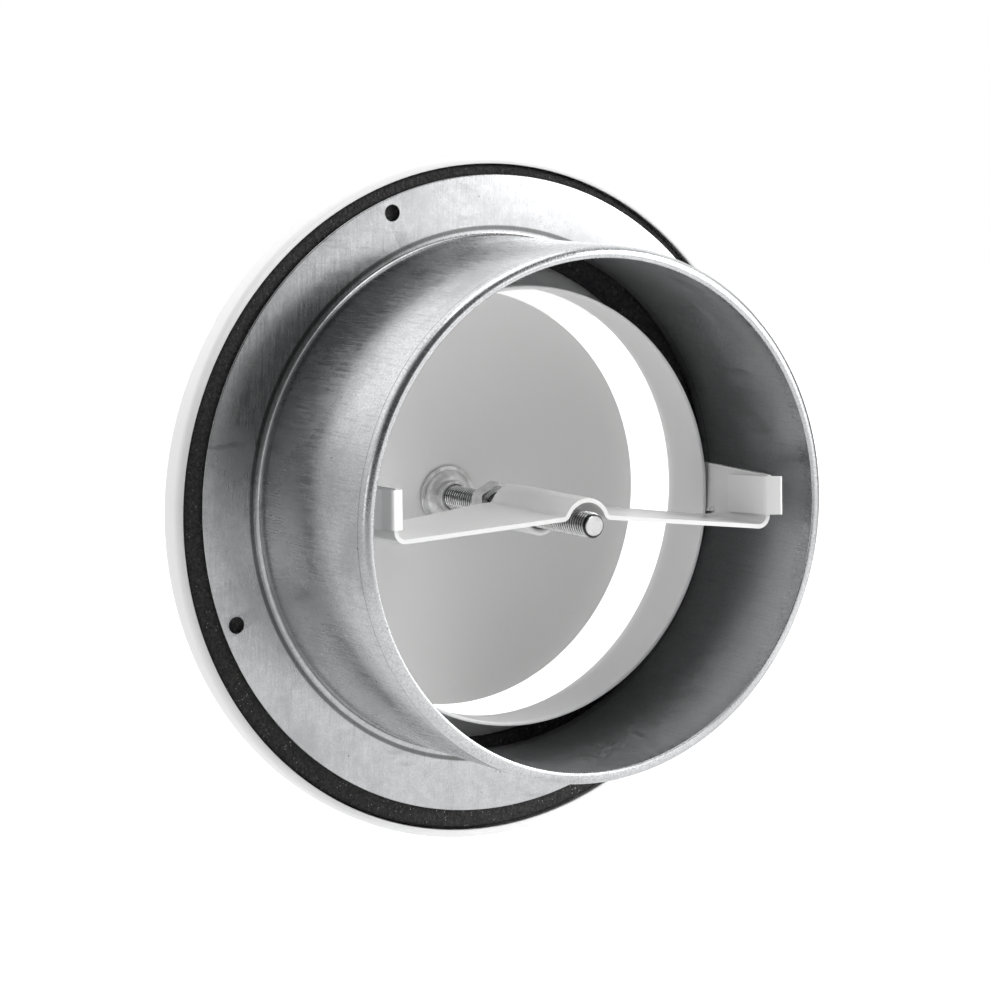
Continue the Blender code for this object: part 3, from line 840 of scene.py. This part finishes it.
def drawing_marks(nodes, colour, streaks, patches, on_sleeve):
    """Dark streaks of rolling and drawing, and fine scratches along the sleeve."""
    streaked = nodes.math("MULTIPLY", nodes.ranged(streaks, 0.52, 0.72), nodes.math("ADD", 0.25, patches))
    colour = nodes.mixed(nodes.math("MULTIPLY", streaked, 0.28), colour, grey(0.27))
    scratches = nodes.noise(nodes.scaled((1.0, 0.035, 1.0), (radians(2), 0.0, 0.0)), 2000.0, 2.0, 0.6)
    scratched = nodes.ranged(scratches, 0.56, 0.66)
    scratched = nodes.math("MULTIPLY", scratched, nodes.math("MULTIPLY", on_sleeve, 0.2))
    return nodes.mixed(scratched, colour, grey(0.24))


def handling_marks(nodes, colour, smudges, patches, on_sleeve):
    """Dark smears on the flange, smudges everywhere and a few pits."""
    smears = nodes.noise(nodes.scaled((0.3, 1.0, 1.5), (0.0, radians(12), 0.0)), 230.0, 3.0, 0.65)
    on_flange = nodes.math("SUBTRACT", 1.0, on_sleeve)
    smeared = nodes.math("MULTIPLY", nodes.ranged(smears, 0.50, 0.70, 0.0, 0.7), on_flange)
    smeared = nodes.math("MULTIPLY", smeared, patches)
    colour = nodes.mixed(smeared, colour, grey(0.20))
    colour = nodes.mixed(nodes.ranged(smudges, 0.42, 0.7, 0.0, 0.45), colour, grey(0.33, -0.015))
    pits = nodes.ranged(nodes.cells(nodes.scaled((1.0, 0.6, 1.0)), 330.0), 0.04, 0.11, 1.0, 0.0)
    rare = nodes.ranged(nodes.noise(nodes.place, 120.0, 2.0), 0.58, 0.68)
    pitted = nodes.math("MULTIPLY", nodes.math("MULTIPLY", pits, rare), 0.7)
    return nodes.mixed(pitted, colour, grey(0.08))


def painted_bend_shade(nodes, colour, station, radius):
    """Painted shade: dark lines where the sheet is bent, for the shade in a groove at the sleeve's mouth and
    in the crease round its foot.
    """
    lines = (
        (station, MOUTH_SHADE_STATION, 0.00016, 0.6),
        (radius, FILLET_SHADE_R, 0.00075, 0.8),
        (station, FILLET_SHADE_STATION, 0.00030, 0.3),
    )
    for value, middle, width, share in lines:
        away = nodes.math("ABSOLUTE", nodes.math("SUBTRACT", value, middle))
        colour = nodes.mixed(nodes.ranged(away, width * 0.4, width, share, 0.0), colour, grey(0.07))
    return colour


def galvanised_steel():
    """Zinc-coated sheet: duller on the flange, brighter along the drawn sleeve, matt inside it."""
    nodes = Nodes("galvanised_steel")
    station = nodes.axis("Y")
    radius = nodes.radius_about(FRAME_AXIS)
    on_sleeve = nodes.ranged(station, 0.0005, 0.0035)
    inside = nodes.ranged(radius, SLEEVE_MID_R - FRAME_SHEET / 4, SLEEVE_MID_R + FRAME_SHEET / 4, 1.0, 0.0)
    inside = nodes.math("MULTIPLY", inside, nodes.ranged(station, 0.040, 0.047, 1.0, 0.0))
    rolled = nodes.noise(nodes.scaled((1.0, 1.0, 0.07), (0.0, radians(-7), 0.0)), 1500.0, 3.0, 0.6)
    drawn = nodes.noise(nodes.scaled((1.0, 0.05, 1.0)), 2300.0, 3.0, 0.6)
    streaks = nodes.mixed_value(on_sleeve, rolled, drawn)
    patches = nodes.ranged(nodes.noise(nodes.scaled((1.0, 0.6, 1.0)), 45.0, 3.0), 0.45, 0.68)
    smudges = nodes.noise(nodes.place, 32.0, 4.0, 0.62, 0.3)
    cloud = nodes.noise(nodes.place, 420.0, 3.0, 0.6)
    grain = nodes.noise(nodes.place, 2100.0, 2.0, 0.6)

    colour = nodes.mixed(on_sleeve, grey(0.46, -0.015), grey(0.64, -0.018))
    colour = nodes.mixed(nodes.ranged(cloud, 0.3, 0.7, 0.0, 0.3), colour, grey(0.75, -0.015))
    colour = nodes.mixed(nodes.ranged(grain, 0.35, 0.65, 0.0, 0.5), colour, grey(0.38, -0.01))
    colour = drawing_marks(nodes, colour, streaks, patches, on_sleeve)
    colour = handling_marks(nodes, colour, smudges, patches, on_sleeve)
    colour = nodes.mixed(nodes.math("MULTIPLY", inside, 0.4), colour, grey(0.86, -0.01))
    # Painted shade in the groove at the mouth and in the crease round the foot
    colour = painted_bend_shade(nodes, colour, station, radius)

    rough = nodes.ranged(streaks, 0.3, 0.7, 0.18, 0.27)
    rough = nodes.math("ADD", rough, nodes.ranged(smudges, 0.4, 0.7, 0.0, 0.12))
    rough = nodes.math("ADD", rough, nodes.math("MULTIPLY", inside, 0.11))
    normal = nodes.bump(streaks, 0.000007)
    normal = nodes.bump(cloud, 0.000012, 1.0, normal)
    return nodes.surface(colour, rough, 1.0, normal)


def powder_coat(name, level, roughness):
    """Baked powder coat: near white, with a faint orange peel."""
    nodes = Nodes(name)
    patches = nodes.noise(nodes.place, 25.0, 2.0)
    peel = nodes.noise(nodes.place, 900.0, 2.0, 0.4)
    colour = nodes.mixed(nodes.ranged(patches, 0.2, 0.8), grey(level, 0.002), grey(level - 0.008, 0.002))
    return nodes.surface(colour, roughness, 0.0, nodes.bump(peel, 0.000012))


def black_foam():
    """Black open foam with its cells, and light specks in them, more of them towards the bottom."""
    nodes = Nodes("black_foam")
    cell = nodes.cells(nodes.place, 1500.0)
    grain = nodes.noise(nodes.place, 1400.0, 5.0, 0.7)
    specks = nodes.ranged(nodes.cells(nodes.place, 1200.0), 0.07, 0.18, 1.0, 0.0)
    # Light specks: full towards the bottom, half as many higher up
    low = nodes.ranged(nodes.axis("Z"), -0.08, 0.03, 1.0, 0.5)
    sparse = nodes.ranged(nodes.noise(nodes.place, 500.0, 1.0), 0.46, 0.60)
    specks = nodes.math("MULTIPLY", nodes.math("MULTIPLY", specks, sparse), low)
    colour = nodes.mixed(nodes.ranged(grain, 0.35, 0.7), grey(0.014), grey(0.048, 0.02))
    colour = nodes.mixed(specks, colour, grey(0.55, 0.02))
    normal = nodes.bump(grain, 0.0004)
    normal = nodes.bump(cell, 0.0003, 0.7, normal)
    return nodes.surface(colour, 0.92, 0.0, normal)


def zinc_plate(name, level, roughness, threaded=False):
    """Bright zinc plate with faint tool marks and tarnish, and painted shade in the roots of a thread."""
    nodes = Nodes(name)
    cloud = nodes.noise(nodes.place, 500.0, 4.0)
    fine = nodes.noise(nodes.place, 2600.0, 3.0)
    colour = nodes.mixed(nodes.ranged(cloud, 0.35, 0.7), grey(level), grey(level * 0.78))
    if threaded:
        # Painted shade: the roots of the thread are darkened nearly to black, all but the end face
        root = nodes.ranged(nodes.radius_about(BRIDGE_AXIS), SPINDLE_R - 0.6 * THREAD_DEPTH,
                            SPINDLE_R - 0.08 * THREAD_DEPTH, 0.96, 0.0)
        end = SPINDLE_HIGH.y
        before_end = nodes.ranged(nodes.axis("Y"), end - 0.0002, end - 0.0001, 1.0, 0.0)
        colour = nodes.mixed(nodes.math("MULTIPLY", root, before_end), colour, grey(0.025))
    rough = nodes.ranged(cloud, 0.35, 0.7, roughness, roughness + 0.10)
    return nodes.surface(colour, rough, 1.0, nodes.bump(fine, 0.00001))


# Studio

def make_camera():
    back = CAMERA_RIGHT.cross(-CAMERA_DOWN).normalized()
    up = back.cross(CAMERA_RIGHT).normalized()
    right = up.cross(back).normalized()
    turn = Matrix((right, up, back)).transposed()
    data = bpy.data.cameras.new("camera")
    data.lens = CAMERA_LENS
    data.sensor_width = CAMERA_SENSOR
    data.sensor_fit = "AUTO"
    data.clip_start = 0.01
    data.clip_end = 50.0
    camera = bpy.data.objects.new("camera", data)
    camera.matrix_world = Matrix.Translation(CAMERA_PLACE) @ turn.to_4x4()
    bpy.context.scene.collection.objects.link(camera)
    bpy.context.scene.camera = camera


def make_lamp(name, place, size, power):
    """A square soft box that looks at the valve."""
    data = bpy.data.lights.new(name, "AREA")
    data.shape = "SQUARE"
    data.size = size
    data.energy = power
    lamp = bpy.data.objects.new(name, data)
    lamp.location = place
    lamp.rotation_euler = Vector(place).to_track_quat("Z", "Y").to_euler()
    bpy.context.scene.collection.objects.link(lamp)


def make_world():
    """White to the camera. Other rays see a studio that is bright behind the valve and dim before it."""
    world = bpy.data.worlds.new("studio")
    bpy.context.scene.world = world
    world.use_nodes = True
    tree = world.node_tree
    direction = tree.nodes.new("ShaderNodeTexCoord").outputs["Generated"]

    def level(value, low, high, at_low, at_high):
        node = tree.nodes.new("ShaderNodeMapRange")
        node.interpolation_type = "SMOOTHSTEP"
        tree.links.new(value, node.inputs["Value"])
        for key, number in (("From Min", low), ("From Max", high), ("To Min", at_low), ("To Max", at_high)):
            node.inputs[key].default_value = number
        return node.outputs["Result"]

    def toward(place):
        node = tree.nodes.new("ShaderNodeVectorMath")
        node.operation = "DOT_PRODUCT"
        tree.links.new(direction, node.inputs[0])
        node.inputs[1].default_value = Vector(place).normalized()
        return node.outputs["Value"]

    def joined(operation, one, two):
        node = tree.nodes.new("ShaderNodeMath")
        node.operation = operation
        tree.links.new(one, node.inputs[0])
        tree.links.new(two, node.inputs[1])
        return node.outputs["Value"]

    parts = tree.nodes.new("ShaderNodeSeparateXYZ")
    tree.links.new(direction, parts.inputs[0])
    depth = level(parts.outputs["Y"], -0.5, 0.7, ROOM_BEHIND, ROOM_BEFORE)
    height = level(parts.outputs["Z"], -0.1, 0.5, ROOM_LOW, ROOM_HIGH)
    shade = level(toward(SHADE_DIRECTION), 0.84, 0.98, 1.0, SHADE_LEVEL)
    glow = level(toward(GLOW_DIRECTION), 0.77, 0.97, 0.0, GLOW_LEVEL)
    side = level(toward(SIDE_DIRECTION), 0.84, 0.97, 0.0, SIDE_LEVEL)
    room = joined("MULTIPLY", joined("MULTIPLY", depth, height), shade)
    studio = joined("ADD", joined("ADD", room, glow), side)

    path = tree.nodes.new("ShaderNodeLightPath")
    seen = tree.nodes.new("ShaderNodeMix")
    seen.data_type = "FLOAT"
    tree.links.new(path.outputs["Is Camera Ray"], seen.inputs["Factor"])
    tree.links.new(studio, seen.inputs["A"])
    seen.inputs["B"].default_value = 1.0
    background = tree.nodes["Background"]
    background.inputs["Color"].default_value = (1.0, 1.0, 1.0, 1.0)
    tree.links.new(seen.outputs["Result"], background.inputs["Strength"])


def make_floor():
    """A pale floor below the valve, white to the camera wherever no shadow falls."""
    place = (0.0, 0.0, cad_box[0][2] - FLOOR_DROP)
    bpy.ops.mesh.primitive_plane_add(size=FLOOR_SIZE, location=place)
    plane = bpy.context.object
    plane.name = "floor"
    material = bpy.data.materials.new("floor")
    material.use_nodes = True
    tree = material.node_tree
    shader = tree.nodes["Principled BSDF"]
    shader.inputs["Base Color"].default_value = (*grey(FLOOR_LEVEL), 1.0)
    shader.inputs["Emission Color"].default_value = (*grey(FLOOR_LEVEL), 1.0)
    shader.inputs["Roughness"].default_value = 0.8
    path = tree.nodes.new("ShaderNodeLightPath")
    tree.links.new(path.outputs["Is Camera Ray"], shader.inputs["Emission Strength"])
    plane.data.materials.append(material)


def main():
    galvanised = galvanised_steel()
    foam = black_foam()
    body_coat = powder_coat("white_body_coat", 0.89, 0.28)
    bridge_coat = powder_coat("white_bridge_coat", 0.84, 0.26)
    clip_coat = powder_coat("white_clip_coat", 0.88, 0.26)
    bush_coat = powder_coat("white_bush_coat", 0.88, 0.30)
    disc_coat = powder_coat("white_disc_coat", 0.88, 0.45)
    boss_zinc = zinc_plate("boss_zinc", 0.74, 0.46)
    spindle_zinc = zinc_plate("spindle_zinc", 0.66, 0.24, threaded=True)
    nut_zinc = zinc_plate("nut_zinc", 0.74, 0.17)

    dress(make_mounting_frame(), "mounting_frame", galvanised)
    dress(make_gasket(), "foam_gasket", foam)
    dress(make_valve_body(), "valve_body", body_coat)
    dress(make_bridge(), "bridge", bridge_coat)
    dress(make_clip("spring_clip_left_sheet", 1), "spring_clip_left", clip_coat)
    dress(make_clip("spring_clip_right_sheet", -1), "spring_clip_right", clip_coat)
    dress(make_bush(), "threaded_bush", bush_coat)
    dress(make_lock_nut(), "lock_nut", nut_zinc)
    dress(make_spindle(), "spindle", spindle_zinc)
    dress(make_boss(), "spindle_boss", boss_zinc)
    dress(make_valve_disc(), "valve_disc", disc_coat)

    make_camera()
    make_world()
    make_floor()
    for name, place, size, power in LAMPS:
        make_lamp(name, place, size, power)
    bpy.context.scene.view_settings.view_transform = "Standard"


main()
